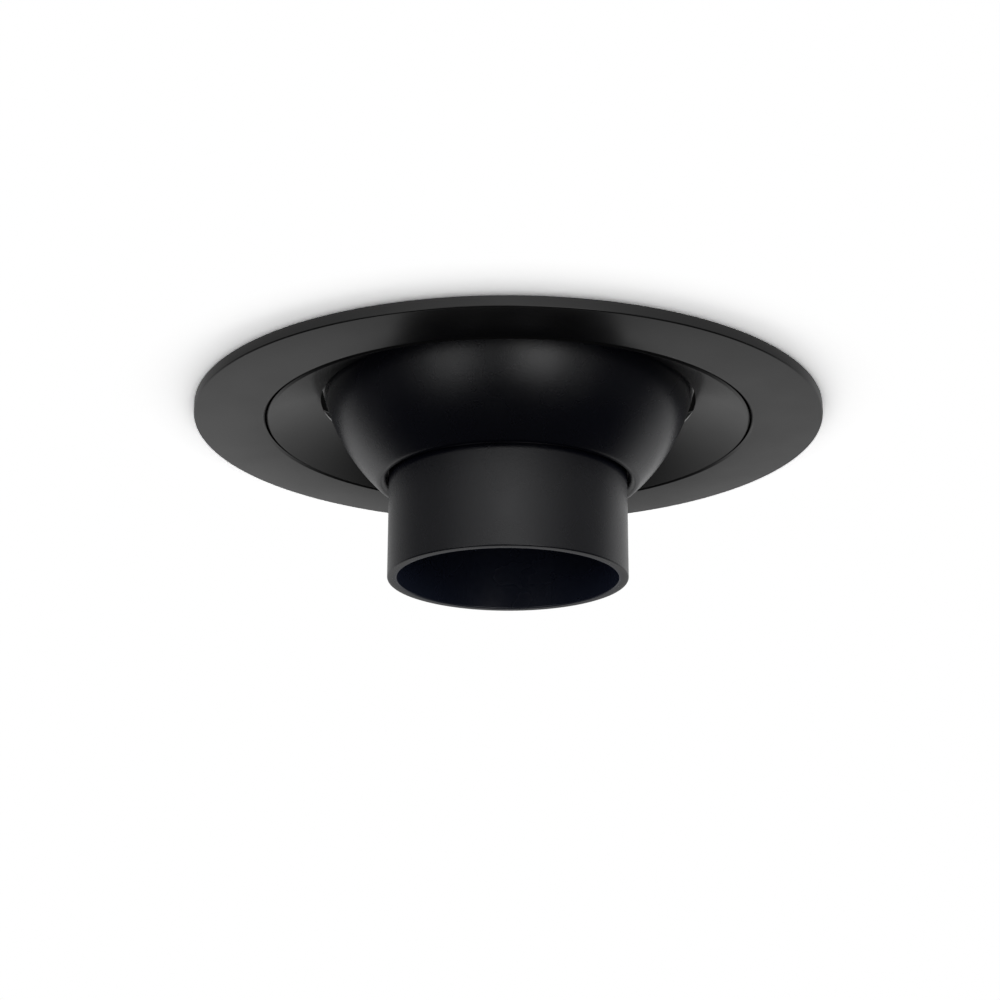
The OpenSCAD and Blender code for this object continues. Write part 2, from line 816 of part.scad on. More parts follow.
module guide_tube_screws() {
  color([0.5, 0.5, 0.52])
    at_ball()
      for (a = lug_angles)
        rotate([0, 0, a + 60]) translate([guide_out_r, 0, (led_face + rim_rise) / 2])
          rotate([0, -90, 0]) cylinder(r = 1, h = guide_out_r - spigot_r + 2);
}

module snoot_grip_ring() {
  color([0.13, 0.13, 0.13])
    at_ball()
      rotate_extrude()
        translate([guide_land_r + grip_wire / 2, grip_z]) circle(grip_wire / 2);
}

module heat_sink() {
  color([0.12, 0.12, 0.125])
    at_ball()
      difference() {
        union() {
          rotate_extrude()
            difference() {
              band(0, rim_out_r, rim_rise, rim_rise + sink_base);
              corner_cut(rim_out_r, rim_rise + sink_base, 0.6);
            }
          translate([0, 0, led_face]) cylinder(r = spigot_r, h = rim_rise - led_face + cut);
          intersection() {
            cylinder(r = fin_r, h = sink_top);
            for (row = [-fin_rows : fin_rows])
              translate([-fin_r, row * fin_pitch - fin_t / 2, rim_rise + sink_base - cut])
                cube([2 * fin_r, fin_t, fin_h + cut]);
          }
        }
        for (a = lug_angles)
          rotate([0, 0, a]) translate([lug_r, 0, 0]) {
            translate([0, 0, rim_rise - cut])
              cylinder(r = sink_screw_d / 2 + hole_fit, h = sink_base + 2 * cut);
            translate([0, 0, rim_rise + sink_base]) cylinder(r = sink_well_r, h = fin_h + cut);
          }
        for (a = lug_angles)
          rotate([0, 0, a + 60]) translate([spigot_r - 2.1, 0, (led_face + rim_rise) / 2])
            rotate([0, 90, 0]) cylinder(r = 1 + hole_fit, h = 2.1 + cut);
        for (side = [-1, 1])
          translate([0, side * optic_screw_r, led_face - cut])
            cylinder(r = optic_screw_d / 2 + hole_fit, h = 6 + cut);
        translate([gland_x, 0, led_face - cut])
          cylinder(r = gland_bore_r, h = ball_r);
        translate([gland_x, 0, gland_z - sink_base + 0.5])
          cylinder(r = gland_r + hole_fit, h = ball_r);
        translate([gland_x, 0, gland_z]) cylinder(r = gland_hex_r + 0.8, h = fin_h + cut);
      }
}

module heat_sink_screws() {
  color([0.5, 0.5, 0.52])
    at_ball()
      for (a = lug_angles)
        rotate([0, 0, a]) translate([lug_r, 0, rim_rise + sink_base])
          cap_screw(sink_screw_d, sink_base + lug_h - 1);
}

// ---- Light engine ----

module thermal_pad() {
  color([0.75, 0.78, 0.8])
    at_ball()
      translate([-board_w / 2, -board_w / 2, led_face - pad_t]) cube([board_w, board_w, pad_t]);
}

module led_board() {
  color([0.9, 0.9, 0.88])
    at_ball()
      translate([-board_w / 2, -board_w / 2, led_face - pad_t - board_t])
        cube([board_w, board_w, board_t]);
}

module led_emitter() {
  color([0.95, 0.8, 0.25])
    at_ball()
      translate([0, 0, led_face - pad_t - board_t - emitter_t])
        cylinder(r = emitter_d / 2, h = emitter_t);
}

module led_holder() {
  pocket = board_w + 0.2;
  color([0.92, 0.92, 0.9])
    at_ball()
      difference() {
        translate([0, 0, holder_z]) cylinder(r = optic_r, h = holder_t);
        translate([-pocket / 2, -pocket / 2, led_face - pad_t - board_t])
          cube([pocket, pocket, holder_t]);
        translate([0, 0, holder_z - cut])
          cylinder(r = reflector_neck_r, h = holder_t + 2 * cut);
        for (side = [-1, 1])
          translate([0, side * optic_screw_r, holder_z - cut])
            cylinder(r = optic_screw_d / 2 + 0.1, h = holder_t + 2 * cut);
        translate([gland_x - gland_bore_r, -gland_bore_r, led_face - pad_t - board_t])
          cube([-gland_x, 2 * gland_bore_r, holder_t]);
      }
}

module optic_housing() {
  color([0.1, 0.1, 0.105])
    at_ball()
      difference() {
        rotate_extrude() {
          band(0, optic_r, optic_foot, holder_z);
          band(0, collar_r, collar_z, holder_z);
        }
        translate([0, 0, optic_foot - cut])
          cylinder(r = optic_in_r, h = holder_z - optic_foot - optic_flange_t + cut);
        translate([0, 0, optic_foot])
          cylinder(r = optic_neck_r, h = holder_z - optic_foot + cut);
        for (side = [-1, 1])
          translate([0, side * optic_screw_r, holder_z - optic_flange_t - cut])
            cylinder(r = optic_screw_d / 2 + 0.1, h = optic_flange_t + 2 * cut);
      }
}

module optic_screws() {
  color([0.5, 0.5, 0.52])
    at_ball()
      for (side = [-1, 1])
        translate([0, side * optic_screw_r, holder_z - optic_flange_t]) rotate([180, 0, 0])
          cap_screw(optic_screw_d, optic_flange_t + holder_t + 5.5);
}

module reflector() {
  color([0.85, 0.86, 0.88])
    at_ball()
      rotate_extrude()
        polygon([
          [window_r, reflector_z],
          [optic_in_r - hole_fit, reflector_z],
          [optic_in_r - hole_fit, reflector_z + reflector_wall],
          [window_r + reflector_wall, reflector_z + reflector_wall],
          [reflector_neck_r + reflector_wall, holder_z],
          [reflector_neck_r, holder_z]
        ]);
}

module cover_glass() {
  color([0.8, 0.9, 0.92, 0.4])
    at_ball()
      translate([0, 0, glass_z]) cylinder(r = optic_in_r - hole_fit, h = glass_t);
}

module glass_seal() {
  color([0.75, 0.3, 0.2])
    at_ball() turned_ring(window_r, optic_in_r - hole_fit, glass_z - seal_t, glass_z);
}

module glass_retainer() {
  color([0.1, 0.1, 0.105])
    at_ball()
      difference() {
        turned_ring(window_r, optic_in_r - hole_fit, optic_foot, optic_foot + retainer_t);
        for (a = [0, 180])
          rotate([0, 0, a]) translate([window_r - cut, -1, optic_foot - cut])
            cube([2 * cut, 2, cut + 1]);
      }
}

// ---- Cord gland ----

module gland_body() {
  color([0.08, 0.08, 0.08])
    at_ball()
      translate([gland_x, 0, gland_z])
        difference() {
          union() {
            translate([0, 0, 0.5 - sink_base]) cylinder(r = gland_r, h = sink_base);
            cylinder(r = gland_hex_r, h = gland_hex_h, $fn = 6);
            translate([0, 0, gland_hex_h - cut]) cylinder(r = gland_r, h = gland_neck_h + cut);
          }
          translate([0, 0, -sink_base]) cylinder(r = gland_bore_r + 0.3, h = ball_r);
          translate([0, 0, gland_hex_h]) cylinder(r = gland_seal_r + hole_fit, h = gland_neck_h + cut);
        }
}

module gland_seal() {
  color([0.2, 0.2, 0.2])
    at_ball()
      translate([gland_x, 0, gland_z + gland_hex_h])
        difference() {
          cylinder(r = gland_seal_r, h = gland_neck_h + 0.6);
          translate([0, 0, -cut]) cylinder(r = gland_bore_r, h = gland_neck_h + 0.6 + 2 * cut);
        }
}

module gland_nut() {
  cap_t = 1.6;
  color([0.08, 0.08, 0.08])
    at_ball()
      translate([gland_x, 0, gland_z + gland_hex_h])
        difference() {
          cylinder(r = gland_hex_r, h = gland_neck_h + 0.6 + cap_t, $fn = 6);
          translate([0, 0, -cut]) cylinder(r = gland_r + hole_fit, h = gland_neck_h + 0.6 + cut);
          cylinder(r = gland_bore_r + 0.3, h = ball_r);
        }
}

// ---- Snoot ----

module snoot_tube() {
  color([0.05, 0.05, 0.055])
    at_ball()
      rotate_extrude()
        difference() {
          band(snoot_in_r, snoot_r, snoot_foot, snoot_top);
          corner_cut(snoot_r, snoot_foot, rim_bevel);
          corner_cut(snoot_in_r, snoot_foot, rim_bevel);
          band(stop_groove_r, snoot_r + cut, stop_ring_z, stop_ring_z + stop_ring_t);
        }
}

module snoot_stop_ring() {
  color([0.4, 0.4, 0.42])
    at_ball()
      snap_ring(stop_groove_r, guide_relief_r - air, stop_ring_z, stop_ring_z + stop_ring_t,
        stop_ring_gap);
}

trim_flange();
flange_gasket();
pan_glide_ring();
pan_snap_ring();
pan_stop_screw();
left() clip_bracket();  // clip_bracket_left
clip_bracket();  // clip_bracket_right
clip_rivets();
left() clip_pin();  // clip_pin_left
clip_pin();  // clip_pin_right
left() clip_arm();  // clip_arm_left
clip_arm();  // clip_arm_right
left() clip_spring();  // clip_spring_left
clip_spring();  // clip_spring_right
left() clip_sleeve();  // clip_sleeve_left
clip_sleeve();  // clip_sleeve_right
swivel_ring();
pan_friction_ring();
pan_stop_pin();
mirror([0, 1, 0]) pivot_ear();  // pivot_ear_front
pivot_ear();  // pivot_ear_back
ear_screws();
ball_shell();
pivot_screws();
pivot_disc_springs();
tilt_friction_washers();
tilt_lock_screws();
tilt_lock_washers();
guide_tube();
snoot_grip_ring();
guide_tube_screws();
heat_sink();
heat_sink_screws();
thermal_pad();
led_board();
led_emitter();
led_holder();
optic_housing();
optic_screws();
reflector();
cover_glass();
glass_seal();
glass_retainer();
gland_body();
gland_seal();
gland_nut();
snoot_tube();
snoot_stop_ring();
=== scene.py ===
"""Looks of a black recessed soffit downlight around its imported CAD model.

The frame's origin is on the lamp's axis at the soffit's surface, +Z points up into the soffit.
Sizes are in millimetres where nothing else is said, and mm() turns them into metres. The lamp's are the
part's own, apart from the finer edges: the mouth's radius and rounding, the seam's bevel, the lean of
the ring's hole and the roundings in the profiles.
"""

import json
import math

import bmesh
import bpy
from mathutils import Matrix, Quaternion, Vector


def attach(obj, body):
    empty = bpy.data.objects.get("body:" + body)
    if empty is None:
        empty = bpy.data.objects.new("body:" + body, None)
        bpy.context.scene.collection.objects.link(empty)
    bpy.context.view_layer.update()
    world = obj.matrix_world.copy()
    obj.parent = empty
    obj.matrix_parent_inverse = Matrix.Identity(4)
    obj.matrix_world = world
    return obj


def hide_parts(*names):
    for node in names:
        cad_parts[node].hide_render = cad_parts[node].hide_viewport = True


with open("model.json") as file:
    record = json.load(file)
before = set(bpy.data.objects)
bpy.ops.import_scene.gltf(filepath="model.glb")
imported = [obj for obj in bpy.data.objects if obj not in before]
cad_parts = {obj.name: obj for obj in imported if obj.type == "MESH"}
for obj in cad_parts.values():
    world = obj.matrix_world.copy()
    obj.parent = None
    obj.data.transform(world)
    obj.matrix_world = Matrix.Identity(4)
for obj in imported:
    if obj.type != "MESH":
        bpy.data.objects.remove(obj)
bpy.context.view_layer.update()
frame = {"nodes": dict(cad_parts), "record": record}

MM = 0.001
FINE = 256  # segments of the large turned parts
SMALL = 64  # segments of bosses and screw holes
MERGE = 1e-7  # points closer than this are one, in metres
ROUNDING_SHARE = 0.49  # a rounding takes at most this share of the side it is on
OVERSHOOT = 1.0  # how far a cutting bar sticks out of what it cuts

# Ball head: its walls, rim, flats with bosses, mouth and screw lugs
BALL_R, BALL_IN_R, BALL_Z = 40.5, 38.3, 15.2
RIM_RISE, FLAT_Y, BOSS_Y, BOSS_SINK = 20.0, 39.0, 32.0, 1.2
RIM_Z = BALL_Z + RIM_RISE
MOUTH_R, MOUTH_ROUND = 25.4, 1.4
PIVOT_BOSS_R, LOCK_BOSS_R, LOCK_ORBIT = 5.5, 4.0, 8.0
PIVOT_HOLE_R, LOCK_HOLE_R, LUG_HOLE_R = 2.05, 1.55, 1.55
LUG_IN_R, LUG_HOLE_AT, LUG_W, LUG_H = 27.5, 30.51, 8.0, 8.0
LUG_TOP_GAP, LUG_SLANT, LUG_ANGLES = 4.6, 0.45, (0, 120, 240)
OUTER_STEPS, MOUTH_STEPS, INNER_STEPS = 96, 16, 64
# Swivel ring
RING_R, HOLE_R, HOLE_LEAN, RING_TOP, LIP_T = 50.87, 39.67, 0.5, 4.0, 0.9
SHOULDER_R, SHOULDER_Z = 52.97, 2.0
# Trim flange: its face, the neck, the grooves of the gasket and the snap ring, and the clips' pads
FLANGE_R, FLANGE_T, FLANGE_IN_R, SEAM_BEVEL = 66.0, 2.3, 51.27, 0.42
NECK_IN_R, NECK_OUT_R, NECK_TOP, LEDGE_Z = 53.02, 55.02, 13.8, 1.5
GASKET_OUT_R, GASKET_IN_R, GASKET_T = 64.0, 61.5, 1.2
SNAP_OUT_R, SNAP_LOW, SNAP_HIGH = 54.12, 5.4, 6.6
PAD_X, PAD_Y, PAD_FOOT, PAD_SINK = 56.0, 8.0, -0.6, 1.0
CAST_ROUND = 0.3  # the rounding of cast edges
# Snoot
SNOOT_R, SNOOT_IN_R, SNOOT_FOOT, SNOOT_TOP = 25.0, 23.0, -35.5, 3.54
SNOOT_GROOVE_R, SNOOT_GROOVE_Z, STOP_RING_T = 24.3, 1.33, 1.0
LINING_R, LINING_FADE = SNOOT_IN_R + 0.6, 0.3
# Soffit
CUT_OUT_R, SOFFIT_R, SOFFIT_LIFT, SOFFIT_SEGMENTS = 60.0, 6000.0, 0.02, 128


def mm(*values):
    """A point or a size given in millimetres, in metres."""
    scaled = [v * MM for v in values]
    return scaled[0] if len(scaled) == 1 else Vector(scaled)


# ---- Meshes ----

def new_object(name, data):
    """An object around a mesh or a camera's or light's data, in the scene."""
    made = bpy.data.objects.new(name, data)
    bpy.context.scene.collection.objects.link(made)
    return made


def smooth(mesh, angle=35):
    """Smooth shading with sharp edges above the angle."""
    mesh.shade_smooth()
    mesh.set_sharp_from_angle(angle=math.radians(angle))


def rounded(points, steps=6):
    """A closed profile of (r, z, rounding) corners in millimetres, with each corner rounded off."""
    out = []
    count = len(points)
    for i, (r, z, rounding) in enumerate(points):
        corner = Vector((r, z))
        if rounding <= 0:
            out.append(corner)
            continue
        before = Vector(points[i - 1][:2]) - corner
        after = Vector(points[(i + 1) % count][:2]) - corner
        half = before.angle(after) / 2
        reach = min(rounding / math.tan(half), ROUNDING_SHARE * min(before.length, after.length))
        radius = reach * math.tan(half)
        before.normalize()
        after.normalize()
        centre = corner + (before + after).normalized() * (radius / math.sin(half))
        start = corner + before * reach - centre
        end = corner + after * reach - centre
        turn = start.angle_signed(end)
        for k in range(steps + 1):
            spoke = start.copy()
            spoke.rotate(Matrix.Rotation(-turn * k / steps, 2))
            out.append(centre + spoke)
    return [(p[0], p[1]) for p in out]


def lathe(name, profile, segments=FINE):
    """A ring turned about Z from a closed profile of (r, z) in millimetres."""
    mesh = bpy.data.meshes.new(name)
    vertices = []
    for k in range(segments):
        a = 2 * math.pi * k / segments
        vertices += [(r * MM * math.cos(a), r * MM * math.sin(a), z * MM) for r, z in profile]
    n = len(profile)
    faces = []
    for k in range(segments):
        here, there = k * n, (k + 1) % segments * n
        faces += [(here + i, here + (i + 1) % n, there + (i + 1) % n, there + i) for i in range(n)]
    mesh.from_pydata(vertices, [], faces)
    solid = bmesh.new()
    solid.from_mesh(mesh)
    bmesh.ops.remove_doubles(solid, verts=solid.verts, dist=MERGE)
    bmesh.ops.recalc_face_normals(solid, faces=solid.faces)
    solid.to_mesh(mesh)
    solid.free()
    smooth(mesh)
    return new_object(name, mesh)


def box_piece(name, low, high, bevel):
    """A box between two corners in millimetres, with bevelled edges."""
    solid = bmesh.new()
    bmesh.ops.create_cube(solid, size=1)
    size = [(b - a) * MM for a, b in zip(low, high)]
    middle = [(a + b) / 2 * MM for a, b in zip(low, high)]
    bmesh.ops.scale(solid, vec=size, verts=solid.verts)
    bmesh.ops.translate(solid, vec=middle, verts=solid.verts)
    edges = list(solid.edges)
    bmesh.ops.bevel(solid, geom=edges, offset=bevel * MM, segments=3, affect="EDGES", profile=0.5)
    mesh = bpy.data.meshes.new(name)
    solid.to_mesh(mesh)
    solid.free()
    smooth(mesh)
    return new_object(name, mesh)


def flatten(piece, y):
    """Cuts the piece at +y and -y, in millimetres, and closes the cuts."""
    solid = bmesh.new()
    solid.from_mesh(piece.data)
    for side in (1, -1):
        cut = bmesh.ops.bisect_plane(
            solid, geom=solid.verts[:] + solid.edges[:] + solid.faces[:], dist=MERGE,
            plane_co=(0, side * y * MM, 0), plane_no=(0, side, 0), clear_outer=True)
        edges = [e for e in cut["geom_cut"] if isinstance(e, bmesh.types.BMEdge)]
        bmesh.ops.contextual_create(solid, geom=edges)
    solid.to_mesh(piece.data)
    solid.free()
    smooth(piece.data)


def cylinder_piece(name, radius, low, high, at, turn):
    """A round bar from low to high along Z at a place in the plane, in millimetres, moved by turn."""
    piece = lathe(name, [(0, low), (radius, low), (radius, high), (0, high)], SMALL)
    piece.data.transform(Matrix.Translation(mm(at[0], at[1], 0)))
    piece.data.transform(turn)
    return piece


def carve(target, added, removed):
    """Unites the target's mesh with the added pieces, cuts the removed ones out and deletes them all."""
    for operation, pieces in (("UNION", added), ("DIFFERENCE", removed)):
        for piece in pieces:
            step = target.modifiers.new("carve", "BOOLEAN")
            step.operation, step.solver, step.object = operation, "EXACT", piece
    view = bpy.context.evaluated_depsgraph_get()
    whole = bpy.data.meshes.new_from_object(target.evaluated_get(view))
    target.modifiers.clear()
    target.data = whole
    for piece in added + removed:
        bpy.data.objects.remove(piece)
    smooth(target.data)


# ---- Materials ----

LINING = (0.009, 0.0115, 0.022)  # the colour inside the snoot


def material(name, base, roughness, metallic=0.0, coat=0.0):
    """A new node material with its principled shader; returns both."""
    made = bpy.data.materials.new(name)
    made.use_nodes = True
    shader = made.node_tree.nodes["Principled BSDF"]
    shader.inputs["Base Color"].default_value = (*base, 1)
    shader.inputs["Roughness"].default_value = roughness
    shader.inputs["Metallic"].default_value = metallic
    shader.inputs["Coat Weight"].default_value = coat
    return made, shader


def noise(made, scale, detail=2.0, roughness=0.5):
    """A noise texture in object space; scale counts features per metre."""
    nodes, links = made.node_tree.nodes, made.node_tree.links
    place = nodes.new("ShaderNodeTexCoord")
    texture = nodes.new("ShaderNodeTexNoise")
    texture.inputs["Scale"].default_value = scale
    texture.inputs["Detail"].default_value = detail
    texture.inputs["Roughness"].default_value = roughness
    links.new(place.outputs["Object"], texture.inputs["Vector"])
    return texture.outputs["Fac"]


def spread(made, value, low, high, start=0.3, end=0.7):
    """value mapped from start..end to low..high."""
    nodes, links = made.node_tree.nodes, made.node_tree.links
    span = nodes.new("ShaderNodeMapRange")
    for key, number in (("From Min", start), ("From Max", end), ("To Min", low), ("To Max", high)):
        span.inputs[key].default_value = number
    links.new(value, span.inputs["Value"])
    return span.outputs["Result"]


def tint(made, value, dark, light):
    """A colour between dark and light by value."""
    nodes, links = made.node_tree.nodes, made.node_tree.links
    ramp = nodes.new("ShaderNodeValToRGB")
    ramp.color_ramp.elements[0].color = (*dark, 1)
    ramp.color_ramp.elements[1].color = (*light, 1)
    links.new(value, ramp.inputs["Fac"])
    return ramp.outputs["Color"]


def bump(made, shader, height, strength, distance):
    """Bumps from a height, on top of the shader's earlier ones; distance is in metres."""
    nodes, links = made.node_tree.nodes, made.node_tree.links
    node = nodes.new("ShaderNodeBump")
    node.inputs["Strength"].default_value = strength
    node.inputs["Distance"].default_value = distance
    links.new(height, node.inputs["Height"])
    previous = shader.inputs["Normal"].links
    if previous:
        links.new(previous[0].from_socket, node.inputs["Normal"])
    links.new(node.outputs["Normal"], shader.inputs["Normal"])


def coated(name, base, roughness, grain, grain_depth, mottle=0.03):
    """Powder coat: fine grain, a slow orange peel and a slightly uneven gloss."""
    made, shader = material(name, base, roughness)
    links = made.node_tree.links
    gloss_scale, peel_scale, peel_depth, darker, lighter = 90, 350, 0.00002, 0.7, 1.4
    gloss = spread(made, noise(made, gloss_scale, 3), roughness - mottle, roughness + mottle)
    links.new(gloss, shader.inputs["Roughness"])
    colour = tint(made, noise(made, grain, 2), [c * darker for c in base], [c * lighter for c in base])
    links.new(colour, shader.inputs["Base Color"])
    bump(made, shader, noise(made, peel_scale, 2), 0.25, peel_depth)
    bump(made, shader, noise(made, grain, 3, 0.6), 0.6, grain_depth)
    return made


def lined(name, radius):
    """The textured coat outside the radius, in millimetres, and the lining's colour inside it."""
    made = TEXTURED.copy()
    made.name = name
    nodes, links = made.node_tree.nodes, made.node_tree.links
    shader = nodes["Principled BSDF"]
    place = nodes.new("ShaderNodeTexCoord")
    flat = nodes.new("ShaderNodeVectorMath")
    flat.operation = "MULTIPLY"
    flat.inputs[1].default_value = (1, 1, 0)
    size = nodes.new("ShaderNodeVectorMath")
    size.operation = "LENGTH"
    links.new(place.outputs["Object"], flat.inputs[0])
    links.new(flat.outputs["Vector"], size.inputs[0])
    inside = spread(made, size.outputs["Value"], 1, 0, mm(radius), mm(radius + LINING_FADE))
    blend = nodes.new("ShaderNodeMix")
    blend.data_type = "RGBA"
    outer, lining, blended = blend.inputs[6], blend.inputs[7], blend.outputs[2]
    links.new(inside, blend.inputs["Factor"])
    links.new(shader.inputs["Base Color"].links[0].from_socket, outer)
    lining.default_value = (*LINING, 1)
    links.new(blended, shader.inputs["Base Color"])
    return made


def plain(name, base, roughness, metallic=0.0, grain=900, depth=0.00001, coat=0.0):
    """A moulded or machined surface: slight colour and gloss variation over fine grain."""
    made, shader = material(name, base, roughness, metallic, coat)
    links = made.node_tree.links
    gloss_scale, colour_scale = 140, 60
    gloss = spread(made, noise(made, gloss_scale, 4), roughness * 0.8, min(1, roughness * 1.25))
    links.new(gloss, shader.inputs["Roughness"])
    dark, light = [c * 0.86 for c in base], [min(1, c * 1.08) for c in base]
    links.new(tint(made, noise(made, colour_scale, 4), dark, light), shader.inputs["Base Color"])
    bump(made, shader, noise(made, grain, 3), 0.4, depth)
    return made


# Columns: colour, roughness, grain in features per metre, depth of the grain in metres. plain() takes how
# metallic it is before the grain, and the strength of a clear coat after the depth.
SATIN = coated("satin_black_coat", (0.003, 0.003, 0.0032), 0.24, 2500, 0.00001)
TEXTURED = coated("textured_black_coat", (0.0012, 0.0016, 0.0045), 0.27, 3000, 0.00005)
ANODISED = plain("black_anodised", (0.006, 0.006, 0.0065), 0.38, 0.0, 1500, 0.000006)
SHEET_BLACK = coated("bracket_black_coat", (0.006, 0.006, 0.0062), 0.5, 1200, 0.00001)
RUBBER = plain("black_rubber", (0.012, 0.012, 0.012), 0.72, 0.0, 1600, 0.00002)
FOAM = plain("gasket_foam", (0.02, 0.02, 0.02), 0.9, 0.0, 2200, 0.00006)
ZINC = plain("zinc_plated_steel", (0.55, 0.56, 0.58), 0.34, 1.0, 700, 0.000006)
SPRING = plain("spring_steel", (0.38, 0.38, 0.4), 0.28, 1.0, 1200, 0.000004)
STEEL = plain("stainless_steel", (0.5, 0.5, 0.51), 0.27, 1.0, 1600, 0.000003)
RIVET = plain("rivet_aluminium", (0.7, 0.7, 0.71), 0.4, 1.0, 1200, 0.000006)
ACETAL = plain("white_acetal", (0.78, 0.78, 0.74), 0.4)
WHITE_PLASTIC = plain("white_moulding", (0.8, 0.8, 0.77), 0.45)
PAD = plain("thermal_silicone", (0.4, 0.45, 0.5), 0.75)
BOARD = plain("white_solder_mask", (0.82, 0.82, 0.8), 0.25)
PHOSPHOR = plain("yellow_phosphor", (0.85, 0.62, 0.08), 0.3, 0.0, 3000, 0.00001, 0.6)
MIRROR = plain("bright_aluminium", (0.86, 0.87, 0.88), 0.12, 1.0, 400, 0.000004)
SILICONE = plain("seal_silicone", (0.5, 0.5, 0.48), 0.6)
NYLON = plain("black_nylon", (0.008, 0.008, 0.0085), 0.5, 0.0, 1300, 0.000012)


def clear_glass():
    """Glass that lets light through, with a faintly uneven gloss."""
    made, shader = material("clear_glass", (0.95, 0.98, 0.97), 0.03)
    shader.inputs["Transmission Weight"].default_value = 1.0
    shader.inputs["IOR"].default_value = 1.5
    made.node_tree.links.new(spread(made, noise(made, 200, 3), 0.015, 0.06), shader.inputs["Roughness"])
    return made


GLASS = clear_glass()

FINISHES = {
    "satin_black": SATIN, "textured_black": TEXTURED, "bracket_black": SHEET_BLACK,
    "anodised_black": ANODISED, "gasket_foam": FOAM, "black_rubber": RUBBER, "white_acetal": ACETAL,
    "white_plastic": WHITE_PLASTIC, "spring_steel": SPRING, "zinc_steel": ZINC,
    "rivet_aluminium": RIVET, "screw_steel": STEEL, "pad_silicone": PAD, "board_white": BOARD,
    "emitter_phosphor": PHOSPHOR, "mirror_aluminium": MIRROR, "clear_glass": GLASS,
    "seal_silicone": SILICONE, "black_nylon": NYLON,
}


def dress(piece, slot, body, *nodes):
    """The piece takes its slot's finish, rides on the body and stands for the CAD nodes."""
    piece.data.materials.clear()
    piece.data.materials.append(FINISHES[slot])
    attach(piece, body)
    if nodes:
        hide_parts(*nodes)


for part in frame["record"]["subparts"]:
    node = frame["nodes"][part["node"]]
    node.data.materials.clear()
    node.data.materials.append(FINISHES[part["material_slot"]])
    smooth(node.data, 30)


# ---- Trim flange ----

# The corners of a profile are (radius, height, rounding).
flange_profile = rounded([
    (FLANGE_IN_R, SEAM_BEVEL - FLANGE_T, 0.04),
    (FLANGE_IN_R + SEAM_BEVEL, -FLANGE_T, 0.04),
    (FLANGE_R, -FLANGE_T, CAST_ROUND),
    (FLANGE_R, 0, 0.15),
    (GASKET_OUT_R, 0, 0.1),
    (GASKET_OUT_R, -GASKET_T, 0),
    (GASKET_IN_R, -GASKET_T, 0),
    (GASKET_IN_R, 0, 0.1),
    (NECK_OUT_R, 0, CAST_ROUND),
    (NECK_OUT_R, NECK_TOP, CAST_ROUND),
    (NECK_IN_R, NECK_TOP, 0.2),
    (NECK_IN_R, SNAP_HIGH, 0),
    (SNAP_OUT_R, SNAP_HIGH, 0),
    (SNAP_OUT_R, SNAP_LOW, 0),
    (NECK_IN_R, SNAP_LOW, 0),
    (NECK_IN_R, LEDGE_Z, 0),
    (FLANGE_IN_R, LEDGE_Z, 0.1),
])
flange = lathe("flange_casting", flange_profile)
dress(flange, "satin_black", "fixed_trim", "trim_flange")

for side, sign in (("right", 1), ("left", -1)):
    xs = sorted((sign * (NECK_OUT_R - PAD_SINK), sign * PAD_X))
    pad = box_piece("clip_pad_" + side, (xs[0], -PAD_Y, PAD_FOOT), (xs[1], PAD_Y, NECK_TOP), CAST_ROUND)
    dress(pad, "satin_black", "fixed_trim")


# ---- Swivel ring ----

swivel_profile = rounded([
    (RING_R - SEAM_BEVEL, -FLANGE_T, 0.04),
    (RING_R, SEAM_BEVEL - FLANGE_T, 0.04),
    (RING_R, SHOULDER_Z, 0),
    (SHOULDER_R, SHOULDER_Z, 0.15),
    (SHOULDER_R, RING_TOP, 0.15),
    (HOLE_R + HOLE_LEAN, RING_TOP, 0.12),
    (HOLE_R, RING_TOP - LIP_T, 0.06),
])
swivel = lathe("swivel_dish", swivel_profile)
dress(swivel, "satin_black", "swivel", "swivel_ring")


# ---- Ball ----

def ball_profile():
    """Outer and inner wall of the ball, from the open rim down to the rounded mouth, in millimetres."""
    round_r = MOUTH_R + MOUTH_ROUND
    foot = -math.acos(round_r / (BALL_R - MOUTH_ROUND))
    round_z = BALL_Z + (BALL_R - MOUTH_ROUND) * math.sin(foot)
    top = math.asin(RIM_RISE / BALL_R)
    outer = []
    for k in range(OUTER_STEPS + 1):
        a = top + (foot - top) * k / OUTER_STEPS
        outer.append((BALL_R * math.cos(a), BALL_Z + BALL_R * math.sin(a)))
    lip = []
    for k in range(1, MOUTH_STEPS + 1):
        a = foot + (-math.pi - foot) * k / MOUTH_STEPS
        lip.append((round_r + MOUTH_ROUND * math.cos(a), round_z + MOUTH_ROUND * math.sin(a)))
    inner = []
    top, foot = math.asin(RIM_RISE / BALL_IN_R), -math.acos(MOUTH_R / BALL_IN_R)
    for k in range(INNER_STEPS + 1):
        a = foot + (top - foot) * k / INNER_STEPS
        inner.append((BALL_IN_R * math.cos(a), BALL_Z + BALL_IN_R * math.sin(a)))
    return outer + lip + inner


def ball_lug():
    """A screw lug on the +X side: vertical inside, slanted outside so that it ends in the ball's wall."""
    low, high = (LUG_IN_R, -LUG_W / 2, RIM_Z - LUG_H), (BALL_IN_R - LUG_TOP_GAP, LUG_W / 2, RIM_Z)
    lug = box_piece("lug", low, high, CAST_ROUND)
    for vertex in lug.data.vertices:
        if vertex.co.x > mm(LUG_HOLE_AT):
            vertex.co.x += LUG_SLANT * (mm(RIM_Z) - vertex.co.z)
    return lug


